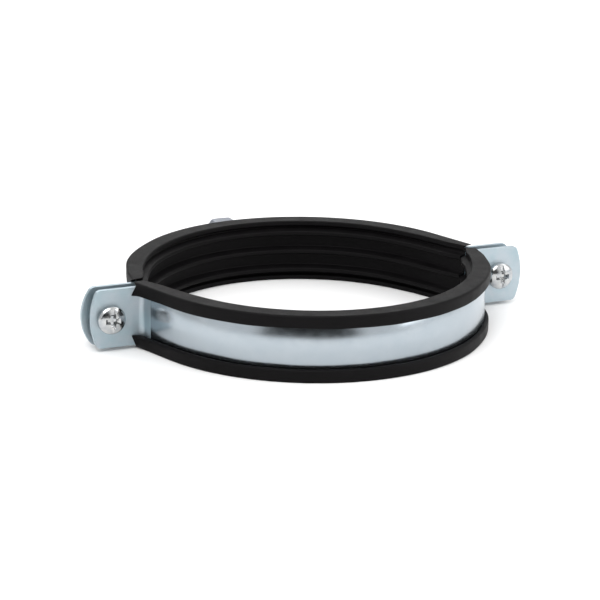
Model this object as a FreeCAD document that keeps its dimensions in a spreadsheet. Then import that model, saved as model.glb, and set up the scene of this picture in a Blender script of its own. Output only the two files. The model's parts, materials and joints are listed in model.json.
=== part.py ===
"""Rubber-lined two-screw pipe clamp, as a parametric document.

Two half bands of steel strip carry ribbed rubber linings and are drawn together by two screws
that pass through the front ears and thread into drawn collars in the rear ears. A hexagonal
connecting nut is welded to the rear band for a threaded rod.

Frame: millimetres, origin on the pipe axis at mid height, +Z along the pipe axis, +Y towards the
connecting nut, +X towards the right ear as seen from the screw heads.
"""
import FreeCAD, Part
import math
import os
import Sketcher

DOC = FreeCAD.newDocument("PipeClamp")

# ---------------------------------------------------------------- driving dimensions
DIMENSIONS = [
    # steel strip and its path
    ("band_inner_radius", 58.4, "inner face of the strip on the round stretch"),
    ("band_thickness", 1.5, "strip thickness"),
    ("band_width", 20.0, "strip width, along the pipe axis"),
    ("round_start_angle", 18.0, "degrees from the ears where the straight stretch meets the arc"),
    ("bend_inner_radius", 2.0, "inside radius of the bend between band and ear"),
    ("ear_gap", 3.2, "distance between the facing sides of the ears"),
    ("rear_ear_reach", 8.4, "tip of the rear ears beyond the screw axis"),
    ("rear_ear_radius", 15.5, "radius of the rear ears' rounded ends"),
    ("front_ear_reach", 9.0, "tip of the front ears beyond the screw axis"),
    ("front_ear_radius", 23.0, "radius of the front ears' flatter ends"),
    ("ear_corner_radius", 2.0, "radius of the ear's outer corners"),
    # screws and their holes
    ("screw_offset", 14.8, "screw axis from the inner face of the strip"),
    ("screw_diameter", 4.9, "outside diameter of the M5 thread as made"),
    ("screw_length", 20.0, "length under the head"),
    ("screw_tip_chamfer", 0.6, "chamfer at the screw's tip"),
    ("head_diameter", 9.5, "pan head diameter"),
    ("head_height", 3.6, "pan head height"),
    ("head_rim_height", 2.3, "height of the head's side wall"),
    ("head_edge_fillet", 0.4, "rounding between the head's side wall and its crown"),
    ("head_clearance", 0.05, "gap between head and ear"),
    ("recess_span", 5.0, "cross recess, tip to tip"),
    ("recess_arm", 1.35, "width of a recess arm"),
    ("recess_depth", 2.1, "depth of the recess"),
    ("recess_core", 2.7, "diameter of the recess core"),
    ("slot_width", 1.2, "width of the driving slot"),
    ("slot_depth", 1.0, "depth of the driving slot"),
    ("ear_hole_clearance", 0.6, "front ear's hole over the screw diameter"),
    ("thread_clearance", 0.1, "rear ear's plain bore over the screw diameter"),
    ("collar_wall", 0.95, "wall of the drawn collar"),
    ("collar_height", 2.0, "height of the drawn collar behind the ear"),
    ("retainer_width", 1.85, "width of the screw retainer's ring"),
    ("retainer_thickness", 0.8, "thickness of the screw retainer"),
    ("retainer_clearance", 0.05, "gap between the retainer and the front ear"),
    # rubber lining
    ("lining_clearance", 0.08, "gap between rubber and strip"),
    ("lip_thickness", 1.52, "rubber lip on the outside of the strip"),
    ("lip_reach", 4.4, "height of the lip from the lining's edge"),
    ("edge_thickness", 1.17, "rubber beyond the strip's edge"),
    ("base_thickness", 2.4, "rubber inside the strip between the ribs"),
    ("edge_bead_height", 1.3, "inward bead along the lining's edges"),
    ("edge_bead_width", 1.6, "width of the edge bead"),
    ("edge_bead_flank", 0.6, "height of the bead's sloping flank"),
    ("rib_height", 2.9, "height of a rib over the base"),
    ("rib_crest", 1.2, "width of a rib's crest"),
    ("rib_root", 3.0, "width of a rib's root"),
    ("rib_edge_distance", 4.25, "middle of an outer rib from the lining's edge"),
    ("lining_end_gap", 2.4, "distance between the facing ends of the two linings"),
    ("lining_corner_chamfer", 0.5, "chamfer along the lining's outer corners"),
    ("lip_end_clearance", 0.4, "gap between the end of a lip and the bend"),
    ("nut_notch_gap", 0.5, "gap between the weld and the notch in the rear lining's lips"),
    # connecting nut
    ("nut_across_flats", 13.0, "connecting nut across flats"),
    ("nut_length", 22.0, "connecting nut length"),
    ("nut_chamfer_margin", 0.6, "across flats less the diameter left flat on the nut's outer face"),
    ("nut_chamfer_angle", 30.0, "degrees"),
    ("outer_thread", 10.0, "M10 thread at the mouth, drawn as a plain bore"),
    ("outer_thread_depth", 11.0, "depth of the M10 thread"),
    ("inner_thread", 8.0, "M8 thread behind the M10, drawn as a plain bore"),
    ("inner_thread_end", 1.0, "solid left at the nut's foot"),
    ("weld_leg", 1.1, "leg of the weld around the nut"),
    ("weld_height", 1.6, "height of the weld up the nut"),
]

SHEET = DOC.addObject("Spreadsheet::Sheet", "Dimensions")
for row, (alias, value, note) in enumerate(DIMENSIONS, start=1):
    SHEET.set("A%d" % row, str(value))
    SHEET.setAlias("A%d" % row, alias)
    SHEET.set("B%d" % row, note)
DOC.recompute()


def size(alias):
    """Value of one driving dimension, read back from the sheet."""
    return float(SHEET.get(alias))


def cell(text):
    """Expression with every driving dimension written as a reference to the sheet."""
    for alias in sorted((entry[0] for entry in DIMENSIONS), key=len, reverse=True):
        text = text.replace("$" + alias, "<<Dimensions>>." + alias)
    return text


# ---------------------------------------------------------------- expressions used by several pieces
BAND_MIDDLE = "$band_inner_radius + $band_thickness / 2"
EAR_MIDDLE = "$ear_gap / 2 + $band_thickness / 2"
EAR_FACE = "$ear_gap / 2 + $band_thickness"
BEND_MIDDLE = "$bend_inner_radius + $band_thickness / 2"
BAND_OUTER = "$band_inner_radius + $band_thickness"
HALF_HEIGHT = "$band_width / 2 + $lining_clearance + $edge_thickness"
LINING_INNER = "$band_inner_radius - $lining_clearance - $base_thickness"
LINING_OUTER = "$band_inner_radius + $band_thickness + $lining_clearance + $lip_thickness"
SCREW_X = "($band_inner_radius + $screw_offset)"
TAPPED_HOLE = "($screw_diameter + $thread_clearance)"
CLEARANCE_HOLE = "($screw_diameter + $ear_hole_clearance)"
WELD_WIDTH = "$nut_across_flats + 2 * $weld_leg"
HEAD_SEAT = "$ear_gap / 2 + $band_thickness + $head_clearance"
TRIM_HALF_HEIGHT = "$band_width / 2 + $ear_corner_radius"
WELL_BELOW = "-$band_inner_radius / 2"
WELL_ASIDE = "2 * $band_inner_radius"
HALF_TURN = FreeCAD.Rotation(FreeCAD.Vector(0, 0, 1), 180)
TINY = 0.01     # shorter than any real edge


def evaluate(text):
    """Plain value of an expression, for placing geometry before it is bound."""
    return float(SHEET.evalExpression(cell(text)))


def new_body(name, label, rotation=FreeCAD.Rotation()):
    """Body with a file name as its label and its own placement."""
    body = DOC.addObject("PartDesign::Body", name)
    body.Label = label
    body.Placement = FreeCAD.Placement(FreeCAD.Vector(), rotation)
    return body


def new_sketch(body, name, role, offset=None):
    """Sketch on one of the body's own origin planes, moved along its normal by an expression."""
    plane = next(f for f in body.Origin.OriginFeatures if f.Role == role)
    sketch = body.newObject("Sketcher::SketchObject", name)
    sketch.AttachmentSupport = [(plane, "")]
    sketch.MapMode = "FlatFace"
    if offset:
        sketch.setExpression("AttachmentOffset.Base.z", cell(offset))
    return sketch


def bind(sketch, kind, *where, name, value, to):
    """Dimensional constraint with a name, bound to an expression."""
    index = sketch.addConstraint(Sketcher.Constraint(kind, *where, value))
    sketch.renameConstraint(index, name)
    sketch.setExpression("Constraints." + name, cell(to))


def closed_polygon(sketch, points):
    """Closed outline of straight lines, corners joined."""
    count = len(points)
    for i in range(count):
        start, end = points[i], points[(i + 1) % count]
        sketch.addGeometry(Part.LineSegment(FreeCAD.Vector(*start, 0), FreeCAD.Vector(*end, 0)))
    for i in range(count):
        sketch.addConstraint(Sketcher.Constraint("Coincident", i, 2, (i + 1) % count, 1))


def fix_corners(sketch, corners):
    """Bind each corner of a closed polygon to two expressions, one for each sketch axis."""
    for i, (x_to, y_to) in enumerate(corners):
        for kind, axis, to in (("DistanceX", "x", x_to), ("DistanceY", "y", y_to)):
            name = "corner_%d_%s" % (i, axis)
            value = evaluate(to)
            index = sketch.addConstraint(Sketcher.Constraint(kind, -1, 1, i, 1, value))
            sketch.renameConstraint(index, name)
            sketch.setExpression("Constraints." + name, cell(to))


def polygon_sketch(body, name, role, corners, offset=None):
    """Closed polygon whose corners are pairs of expressions."""
    sketch = new_sketch(body, name, role, offset)
    closed_polygon(sketch, [(evaluate(x_to), evaluate(y_to)) for x_to, y_to in corners])
    fix_corners(sketch, corners)
    return sketch


def circle_sketch(body, name, role, centre, diameter, offset=None):
    """Circle whose centre and diameter are expressions."""
    sketch = new_sketch(body, name, role, offset)
    x, y = (evaluate(to) for to in centre)
    radius = evaluate(diameter) / 2
    sketch.addGeometry(Part.Circle(FreeCAD.Vector(x, y, 0), FreeCAD.Vector(0, 0, 1), radius))
    bind(sketch, "DistanceX", -1, 1, 0, 3, name="centre_x", value=x, to=centre[0])
    bind(sketch, "DistanceY", -1, 1, 0, 3, name="centre_y", value=y, to=centre[1])
    bind(sketch, "Diameter", 0, name="diameter", value=2 * radius, to=diameter)
    return sketch


def cut_through(body, name, sketch):
    """Pocket through everything on both sides of its sketch."""
    pocket = body.newObject("PartDesign::Pocket", name)
    pocket.Profile = sketch
    pocket.SideType = "Two sides"
    pocket.Type = "ThroughAll"
    pocket.Type2 = "ThroughAll"
    return pocket


def extrude(body, name, kind, sketch, length, reverse=False, taper=None):
    """Pad or Pocket of one length, bound to an expression."""
    feature = body.newObject("PartDesign::" + kind, name)
    feature.Profile = sketch
    feature.setExpression("Length", cell(length))
    feature.Reversed = reverse
    if taper:
        feature.setExpression("TaperAngle", cell(taper))
    return feature


def sweep(body, name, profile, path):
    """Profile carried along a path that lies in the XY plane."""
    pipe = body.newObject("PartDesign::AdditivePipe", name)
    pipe.Profile = profile
    pipe.Spine = path
    return pipe


def mirror_across_yz(body, name):
    """Second half of a body, as a mirror image of everything made so far."""
    mirrored = body.newObject("PartDesign::Mirrored", name)
    mirrored.TransformMode = "Whole shape"
    plane = next(f for f in body.Origin.OriginFeatures if f.Role == "YZ_Plane")
    mirrored.MirrorPlane = (plane, [""])
    body.Tip = mirrored
    return mirrored


def hexagon(across_flats):
    """Corners of a hexagon with flats facing +Z and -Z, as expressions."""
    half = "(%s) / 2" % across_flats
    short, long = half + " * tan(30)", half + " / cos(30)"
    return [
        (long, "0"), (short, half), ("-" + short, half), ("-" + long, "0"),
        ("-" + short, "-" + half), (short, "-" + half)]


# ---------------------------------------------------------------- half bands
ROUND_ANGLE = "(90 + $round_start_angle) * 1 deg"


def draw_round_path(sketch, radius_to, line_end):
    """Arc about the pipe axis from the top of the Y axis, then its tangent down to line_end."""
    start = math.radians(size("round_start_angle"))
    radius = evaluate(radius_to)
    circle = Part.Circle(FreeCAD.Vector(), FreeCAD.Vector(0, 0, 1), radius)
    sketch.addGeometry(Part.ArcOfCircle(circle, start, math.pi / 2))
    tangent = FreeCAD.Vector(radius * math.cos(start), radius * math.sin(start), 0)
    sketch.addGeometry(Part.LineSegment(FreeCAD.Vector(*line_end, 0), tangent))
    sketch.addConstraint(Sketcher.Constraint("Coincident", 0, 3, -1, 1))
    sketch.addConstraint(Sketcher.Constraint("PointOnObject", 0, 2, -2))
    sketch.addConstraint(Sketcher.Constraint("Tangent", 0, 1, 1, 2))
    bind(sketch, "Radius", 0, name="round_radius", value=radius, to=radius_to)
    bind(sketch, "Angle", 1, name="straight_angle", value=math.pi / 2 + start, to=ROUND_ANGLE)


def band_path(body, ear_tip):
    """Middle of the strip: round stretch, straight stretch, bend and ear."""
    sketch = new_sketch(body, body.Name + "Path", "XY_Plane")
    start = math.radians(size("round_start_angle"))
    bend = evaluate(BEND_MIDDLE)
    ear_y = evaluate(EAR_MIDDLE)
    centre_y = ear_y + bend
    centre_x = (evaluate(BAND_MIDDLE) + bend - centre_y * math.sin(start)) / math.cos(start)
    bend_start = (centre_x - bend * math.cos(start), centre_y - bend * math.sin(start))
    draw_round_path(sketch, BAND_MIDDLE, bend_start)
    circle = Part.Circle(FreeCAD.Vector(centre_x, centre_y, 0), FreeCAD.Vector(0, 0, 1), bend)
    sketch.addGeometry(Part.ArcOfCircle(circle, math.pi + start, 1.5 * math.pi))
    ear = (FreeCAD.Vector(centre_x, ear_y, 0), FreeCAD.Vector(evaluate(ear_tip), ear_y, 0))
    sketch.addGeometry(Part.LineSegment(*ear))
    sketch.addConstraint(Sketcher.Constraint("Tangent", 1, 1, 2, 1))
    sketch.addConstraint(Sketcher.Constraint("Tangent", 2, 2, 3, 1))
    sketch.addConstraint(Sketcher.Constraint("Horizontal", 3))
    bind(sketch, "Radius", 2, name="bend_radius", value=bend, to=BEND_MIDDLE)
    bind(sketch, "DistanceY", -1, 1, 3, 2, name="ear_height", value=ear_y, to=EAR_MIDDLE)
    bind(sketch, "DistanceX", -1, 1, 3, 2, name="ear_tip", value=evaluate(ear_tip), to=ear_tip)
    return sketch


def round_ear_end(body, ear_tip, ear_radius):
    """Trim the ear to its rounded end and take off the two corners that leaves."""
    sketch = new_sketch(body, body.Name + "EarEnd", "XZ_Plane")
    tip, radius, half = evaluate(ear_tip), evaluate(ear_radius), evaluate(TRIM_HALF_HEIGHT)
    reach = math.asin(half / radius)
    circle = Part.Circle(FreeCAD.Vector(tip - radius, 0, 0), FreeCAD.Vector(0, 0, 1), radius)
    sketch.addGeometry(Part.ArcOfCircle(circle, -reach, reach))
    near = tip - radius + radius * math.cos(reach)
    far = evaluate(WELL_ASIDE)
    corners = [(near, half), (far, half), (far, -half), (near, -half)]
    for start, end in zip(corners, corners[1:]):
        sketch.addGeometry(Part.LineSegment(FreeCAD.Vector(*start, 0), FreeCAD.Vector(*end, 0)))
    for joint in ((0, 2, 1, 1), (1, 2, 2, 1), (2, 2, 3, 1), (3, 2, 0, 1)):
        sketch.addConstraint(Sketcher.Constraint("Coincident", *joint))
    sketch.addConstraint(Sketcher.Constraint("PointOnObject", 0, 3, -1))
    for kind, line in (("Horizontal", 1), ("Vertical", 2), ("Horizontal", 3)):
        sketch.addConstraint(Sketcher.Constraint(kind, line))
    bind(sketch, "Radius", 0, name="end_radius", value=radius, to=ear_radius)
    bind(sketch, "DistanceX", -1, 1, 0, 3, name="end_centre", value=tip - radius,
         to="%s - %s" % (ear_tip, ear_radius))
    bind(sketch, "DistanceY", -1, 1, 0, 2, name="end_half_height", value=half, to=TRIM_HALF_HEIGHT)
    bind(sketch, "DistanceX", -1, 1, 1, 2, name="end_far_side", value=far, to=WELL_ASIDE)
    trimmed = cut_through(body, body.Name + "EarTrim", sketch)
    DOC.recompute()
    corner_edges = []
    for i, edge in enumerate(trimmed.Shape.Edges, start=1):
        box = edge.BoundBox
        along_y = box.YLength > TINY and box.XLength + box.ZLength < TINY
        if along_y and box.XMin > evaluate(SCREW_X) and abs(box.ZMin) > size("band_width") / 4:
            corner_edges.append("Edge%d" % i)
    fillet = body.newObject("PartDesign::Fillet", body.Name + "EarCorners")
    fillet.Base = (trimmed, corner_edges)
    fillet.setExpression("Radius", cell("$ear_corner_radius"))


def make_band(name, label, rotation, ear_reach, ear_radius, hole, collared):
    """One half band; its ears lie on +Y of the parting plane before it is turned."""
    body = new_body(name, label, rotation)
    ear_tip = "(%s + %s)" % (SCREW_X, ear_reach)
    path = band_path(body, ear_tip)
    inner, outer, edge = "$band_inner_radius", BAND_OUTER, "$band_width / 2"
    profile = polygon_sketch(body, name + "Section", "YZ_Plane", [
        (inner, "-" + edge), (outer, "-" + edge), (outer, edge), (inner, edge)])
    sweep(body, name + "Strip", profile, path)
    round_ear_end(body, ear_tip, ear_radius)
    if collared:
        collar = circle_sketch(body, name + "CollarOutline", "XZ_Plane", (SCREW_X, "0"),
                               hole + " + 2 * $collar_wall", "-(%s)" % EAR_MIDDLE)
        extrude(body, name + "Collar", "Pad", collar, "$band_thickness / 2 + $collar_height", True)
    bore = circle_sketch(body, name + "HoleOutline", "XZ_Plane", (SCREW_X, "0"), hole)
    cut_through(body, name + "Hole", bore)
    mirror_across_yz(body, name + "Whole")
    return body


# ---------------------------------------------------------------- rubber linings
def lining_section():
    """Corners of the lining's section: lips round the strip's edges, a base and three ribs."""
    gap = "$lining_clearance"
    lip_face = "$band_inner_radius + $band_thickness + " + gap
    base_face = "$band_inner_radius - " + gap
    slot_edge = "$band_width / 2 + " + gap
    lip_end = "(%s) - $lip_reach" % HALF_HEIGHT
    bead = "(%s) - $edge_bead_height" % LINING_INNER
    bead_end = "(%s) - $edge_bead_width" % HALF_HEIGHT
    bead_foot = bead_end + " - $edge_bead_flank"
    shoulder = "(%s) - $lining_corner_chamfer" % LINING_OUTER
    shoulder_edge = "(%s) - $lining_corner_chamfer" % HALF_HEIGHT
    crest = "(%s) - $rib_height" % LINING_INNER
    upper = [
        (bead, HALF_HEIGHT), (shoulder, HALF_HEIGHT), (LINING_OUTER, shoulder_edge),
        (LINING_OUTER, lip_end), (lip_face, lip_end), (lip_face, slot_edge), (base_face, slot_edge)]
    lower = [(x, "-(%s)" % y) for x, y in reversed(upper)]
    corners = upper + lower
    corners += [(bead, "-(%s)" % bead_end), (LINING_INNER, "-(%s)" % bead_foot)]
    for rib in (-1, 0, 1):
        middle = "%d * (%s - $rib_edge_distance)" % (rib, HALF_HEIGHT)
        corners += [
            (LINING_INNER, middle + " - $rib_root / 2"), (crest, middle + " - $rib_crest / 2"),
            (crest, middle + " + $rib_crest / 2"), (LINING_INNER, middle + " + $rib_root / 2")]
    corners += [(LINING_INNER, bead_foot), (bead, bead_end)]
    return corners


STRAIGHT_MIDDLE = "((%s) - (%%s) * sin($round_start_angle)) / cos($round_start_angle)" % BAND_MIDDLE
LIP_END_Y = ("$ear_gap / 2 + $band_thickness + $bend_inner_radius * (1 - sin($round_start_angle))"
             " + $lip_end_clearance")
BELOW_PARTING = "-($band_thickness + $ear_gap)"


def make_lining(name, label, rotation, clears_nut):
    """One rubber lining; it hugs the strip, stops at the parting plane and clears the welded nut."""
    body = new_body(name, label, rotation)
    path = new_sketch(body, name + "Path", "XY_Plane")
    below = evaluate(BELOW_PARTING)
    draw_round_path(path, BAND_MIDDLE, (evaluate(STRAIGHT_MIDDLE % BELOW_PARTING), below))
    bind(path, "DistanceY", -1, 1, 1, 1, name="path_end", value=below, to=BELOW_PARTING)
    profile = polygon_sketch(body, name + "Section", "YZ_Plane", lining_section())
    sweep(body, name + "Rubber", profile, path)
    far = WELL_ASIDE
    parting = polygon_sketch(body, name + "PartingOutline", "XY_Plane", [
        ("0", WELL_BELOW), (far, WELL_BELOW), (far, "$lining_end_gap / 2"),
        ("0", "$lining_end_gap / 2")])
    cut_through(body, name + "Parting", parting)
    lip_cut = polygon_sketch(body, name + "LipEndOutline", "XY_Plane", [
        (STRAIGHT_MIDDLE % BELOW_PARTING, BELOW_PARTING), (far, BELOW_PARTING), (far, LIP_END_Y),
        (STRAIGHT_MIDDLE % ("(%s)" % LIP_END_Y), LIP_END_Y)])
    pocket = extrude(body, name + "LipEnds", "Pocket", lip_cut, "$band_width + 2 * $lining_clearance")
    pocket.SideType = "Symmetric"
    mirror_across_yz(body, name + "Whole")
    if clears_nut:
        notch = polygon_sketch(body, name + "NutNotchOutline", "XZ_Plane",
                               hexagon(WELD_WIDTH + " + 2 * $nut_notch_gap"), "-(%s)" % BAND_MIDDLE)
        extrude(body, name + "NutNotch", "Pocket", notch, "$nut_length")
    return body


# ---------------------------------------------------------------- screws
def make_screw(name, label, side):
    """Pan-head screw with a cross recess and a slot; its axis is the body's own Y axis."""
    body = new_body(name, label)
    body.setExpression("Placement.Base.x", cell("%d * %s" % (side, SCREW_X)))
    seat = "-(%s)" % HEAD_SEAT
    top = "-(%s) - $head_height" % HEAD_SEAT
    rim = "-(%s) - $head_rim_height" % HEAD_SEAT
    tip = seat + " + $screw_length"
    shank, head = "$screw_diameter / 2", "$head_diameter / 2"
    corners = [
        ("0", top), (head, rim), (head, seat), (shank, seat), (shank, tip + " - $screw_tip_chamfer"),
        (shank + " - $screw_tip_chamfer", tip), ("0", tip)]
    sketch = new_sketch(body, name + "Profile", "XY_Plane")
    points = [FreeCAD.Vector(evaluate(x_to), evaluate(y_to), 0) for x_to, y_to in corners]
    crown = evaluate("$head_height - $head_rim_height")
    crown_radius = (points[1].x ** 2 + crown ** 2) / (2 * crown)
    centre = FreeCAD.Vector(0, points[0].y + crown_radius, 0)
    reach = math.asin(points[1].x / crown_radius)
    circle = Part.Circle(centre, FreeCAD.Vector(0, 0, 1), crown_radius)
    sketch.addGeometry(Part.ArcOfCircle(circle, 1.5 * math.pi, 1.5 * math.pi + reach))
    count = len(points)
    for i in range(1, count):
        sketch.addGeometry(Part.LineSegment(points[i], points[(i + 1) % count]))
    for i in range(count):
        sketch.addConstraint(Sketcher.Constraint("Coincident", i, 2, (i + 1) % count, 1))
    sketch.addConstraint(Sketcher.Constraint("PointOnObject", 0, 3, -2))
    fix_corners(sketch, corners)
    turned = body.newObject("PartDesign::Revolution", name + "Turned")
    turned.Profile = sketch
    turned.ReferenceAxis = (sketch, ["V_Axis"])
    DOC.recompute()
    rim_edges = ["Edge%d" % i for i, edge in enumerate(turned.Shape.Edges, start=1)
                 if abs(edge.BoundBox.YMin - points[1].y) < TINY and edge.BoundBox.YLength < TINY]
    fillet = body.newObject("PartDesign::Fillet", name + "HeadEdge")
    fillet.Base = (turned, rim_edges)
    fillet.setExpression("Radius", cell("$head_edge_fillet"))
    head_top = "(%s) + $head_height" % HEAD_SEAT
    arm, span = "$recess_arm / 2", "$recess_span / 2"
    cross = [
        (arm, arm), (span, arm), (span, "-" + arm), (arm, "-" + arm), (arm, "-" + span),
        ("-" + arm, "-" + span), ("-" + arm, "-" + arm), ("-" + span, "-" + arm), ("-" + span, arm),
        ("-" + arm, arm), ("-" + arm, span), (arm, span)]
    recess = polygon_sketch(body, name + "RecessOutline", "XZ_Plane", cross, head_top)
    extrude(body, name + "Recess", "Pocket", recess, "$recess_depth")
    core = circle_sketch(body, name + "CoreOutline", "XZ_Plane", ("0", "0"), "$recess_core", head_top)
    extrude(body, name + "Core", "Pocket", core, "$recess_depth")
    half_slot, across = "$slot_width / 2", "$head_diameter"
    slot = polygon_sketch(body, name + "SlotOutline", "XZ_Plane", [
        ("-" + half_slot, "-" + across), (half_slot, "-" + across), (half_slot, across),
        ("-" + half_slot, across)], head_top)
    extrude(body, name + "Slot", "Pocket", slot, "$slot_depth")
    return body


def make_retainer(name, label, side):
    """Flat ring that sits tight on the thread behind the front ear and keeps the screw captive."""
    body = new_body(name, label)
    body.setExpression("Placement.Base.x", cell("%d * %s" % (side, SCREW_X)))
    front = "$ear_gap / 2 - $retainer_clearance"
    disc = circle_sketch(body, name + "Outline", "XZ_Plane", ("0", "0"),
                         "$screw_diameter + 2 * $retainer_width", front)
    extrude(body, name + "Disc", "Pad", disc, "$retainer_thickness", True)
    hole = circle_sketch(body, name + "HoleOutline", "XZ_Plane", ("0", "0"), "$screw_diameter", front)
    cut_through(body, name + "Hole", hole)
    return body


# ---------------------------------------------------------------- connecting nut and its weld
def make_nut(name, label):
    """Hexagonal connecting nut standing on the rear band, M10 at its mouth and M8 behind."""
    body = new_body(name, label)
    foot = "-(%s)" % BAND_OUTER
    outline = polygon_sketch(body, name + "Hexagon", "XZ_Plane", hexagon("$nut_across_flats"), foot)
    extrude(body, name + "Block", "Pad", outline, "$nut_length", True)
    mouth = "(%s) + $nut_length" % BAND_OUTER
    flat, corner = "($nut_across_flats - $nut_chamfer_margin) / 2", "$nut_across_flats"
    chamfer = polygon_sketch(body, name + "ChamferOutline", "XY_Plane", [
        (flat, mouth), (corner, mouth + " - (%s - %s) * tan($nut_chamfer_angle)" % (corner, flat)),
        (corner, mouth)])
    groove = body.newObject("PartDesign::Groove", name + "Chamfer")
    groove.Profile = chamfer
    groove.ReferenceAxis = (chamfer, ["V_Axis"])
    at_mouth = "-(%s)" % mouth
    outer = circle_sketch(body, name + "OuterThreadOutline", "XZ_Plane", ("0", "0"), "$outer_thread",
                          at_mouth)
    extrude(body, name + "OuterThread", "Pocket", outer, "$outer_thread_depth", True)
    inner = circle_sketch(body, name + "InnerThreadOutline", "XZ_Plane", ("0", "0"), "$inner_thread",
                          at_mouth)
    extrude(body, name + "InnerThread", "Pocket", inner, "$nut_length - $inner_thread_end", True)
    return body


def make_weld(name, label):
    """Fillet weld round the nut's foot, shaped to the round band."""
    body = new_body(name, label)
    sink = "$weld_leg"
    toe = "-(%s) + %s" % (BAND_OUTER, sink)
    outline = polygon_sketch(body, name + "Toe", "XZ_Plane", hexagon(WELD_WIDTH), toe)
    extrude(body, name + "Bead", "Pad", outline, "$weld_height + " + sink, True,
            "-atan($weld_leg / ($weld_height + %s))" % sink)
    inside = polygon_sketch(body, name + "NutSeat", "XZ_Plane", hexagon("$nut_across_flats"), toe)
    cut_through(body, name + "Seat", inside)
    round_band = circle_sketch(body, name + "BandOutline", "XY_Plane", ("0", "0"), "2 * (%s)" % BAND_OUTER)
    cut_through(body, name + "BandSeat", round_band)
    return body


# ---------------------------------------------------------------- the assembly
PIECES = [
    make_band("RearBand", "rear_band", FreeCAD.Rotation(),
              "$rear_ear_reach", "$rear_ear_radius", TAPPED_HOLE, collared=True),
    make_band("FrontBand", "front_band", HALF_TURN,
              "$front_ear_reach", "$front_ear_radius", CLEARANCE_HOLE, collared=False),
    make_lining("RearLining", "rear_lining", FreeCAD.Rotation(), clears_nut=True),
    make_lining("FrontLining", "front_lining", HALF_TURN, clears_nut=False),
    make_nut("ConnectingNut", "connecting_nut"),
    make_weld("NutWeld", "nut_weld"),
]
for side_name, side in (("left", -1), ("right", 1)):
    title = side_name.capitalize()
    PIECES.append(make_screw(title + "Screw", side_name + "_screw", side))
    PIECES.append(make_retainer(title + "Retainer", side_name + "_screw_retainer", side))
DOC.recompute()

for item in DOC.Objects:
    if {"Invalid", "Error"} & set(item.State):
        raise RuntimeError("%s did not recompute: %s" % (item.Name, item.State))
os.makedirs("parts", exist_ok=True)
for piece in PIECES:
    shape = piece.Shape
    if shape.isNull() or not shape.isValid() or len(shape.Solids) != 1:
        raise RuntimeError("%s is not one valid solid" % piece.Label)
    shape.exportStep("parts/%s.step" % piece.Label)
    print("%-22s %10.1f mm3" % (piece.Label, shape.Volume))
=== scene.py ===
import bmesh
import bpy
import json
import math
from mathutils import Matrix, Vector, noise
from mathutils.geometry import tessellate_polygon


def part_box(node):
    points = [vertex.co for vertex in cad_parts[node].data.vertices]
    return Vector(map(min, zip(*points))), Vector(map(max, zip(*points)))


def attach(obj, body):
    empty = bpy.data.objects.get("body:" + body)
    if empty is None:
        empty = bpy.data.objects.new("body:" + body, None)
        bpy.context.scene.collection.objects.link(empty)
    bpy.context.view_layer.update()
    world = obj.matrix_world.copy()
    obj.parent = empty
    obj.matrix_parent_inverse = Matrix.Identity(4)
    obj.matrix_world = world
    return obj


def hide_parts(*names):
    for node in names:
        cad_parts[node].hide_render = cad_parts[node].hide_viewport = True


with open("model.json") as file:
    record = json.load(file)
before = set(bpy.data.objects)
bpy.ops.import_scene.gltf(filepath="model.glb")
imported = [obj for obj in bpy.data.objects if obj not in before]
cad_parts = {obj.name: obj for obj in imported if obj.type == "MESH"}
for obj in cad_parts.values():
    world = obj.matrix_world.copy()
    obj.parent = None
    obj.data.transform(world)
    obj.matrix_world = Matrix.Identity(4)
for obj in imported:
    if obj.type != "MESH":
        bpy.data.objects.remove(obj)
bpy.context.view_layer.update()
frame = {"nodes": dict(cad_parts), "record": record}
MM = 0.001


# ------------------------------------------------------------------ sizes read from the frame
def size_of(node, corner, axis):
    """One coordinate of a CAD node's box, in millimetres."""
    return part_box(node)[corner]["xyz".index(axis)] / MM


def mount(name):
    """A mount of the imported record."""
    return next(m for m in frame["record"]["mounts"] if m["name"] == name)


BAND_OUTER = size_of("rear_band", 1, "y")          # outside of the strip at the middle
BAND_HALF = size_of("rear_band", 1, "z")
EAR_TIP = {half: size_of(half + "_band", 1, "x") for half in ("rear", "front")}
EAR_INNER = size_of("rear_band", 0, "y")           # facing side of an ear
LINING_OUTER = size_of("rear_lining", 1, "y")
LINING_HALF = size_of("rear_lining", 1, "z")
SEAT = mount("pipe_seat")["dims"]["r_mm"]          # radius over the rib crests
SCREW_X = (size_of("right_screw", 0, "x") + size_of("right_screw", 1, "x")) / 2
HEAD_RADIUS = (size_of("right_screw", 1, "x") - size_of("right_screw", 0, "x")) / 2
HEAD_TOP = size_of("right_screw", 0, "y")
SCREW_TIP = size_of("right_screw", 1, "y")
NUT_MOUTH = size_of("connecting_nut", 1, "y")

# ------------------------------------------------------------------ sizes of the strip and its bends
THICK = 1.5                                        # strip thickness
START = math.radians(18)                           # where the straight stretch meets the arc
BEND = 2.0 + THICK / 2                             # middle radius of the bend to the ear
MIDDLE = BAND_OUTER - THICK / 2                    # middle radius of the round stretch
EAR_MIDDLE = EAR_INNER + THICK / 2
BEND_Y = EAR_MIDDLE + BEND
BEND_X = (MIDDLE + BEND - BEND_Y * math.sin(START)) / math.cos(START)
ROUND_LENGTH = MIDDLE * (math.pi / 2 - START)
TANGENT = Vector((MIDDLE * math.cos(START), MIDDLE * math.sin(START)))
DOWN = Vector((math.sin(START), -math.cos(START)))
OUT = Vector((math.cos(START), math.sin(START)))
STRAIGHT_LENGTH = (TANGENT.y - (BEND_Y - BEND * math.sin(START))) / math.cos(START)
BEND_LENGTH = BEND * (math.pi / 2 - START)
EAR_START = ROUND_LENGTH + STRAIGHT_LENGTH + BEND_LENGTH
GAP = 0.08                                         # between rubber and strip
SIDES = {"rear": 1, "front": -1}
SPRUNG = {("rear", -1): 1.3, ("front", 1): 1.2}    # outward, by half and side
SPRUNG_TOP, SPRUNG_TOP_FADE = 45, 25               # distance from the parting plane where it ends
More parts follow.
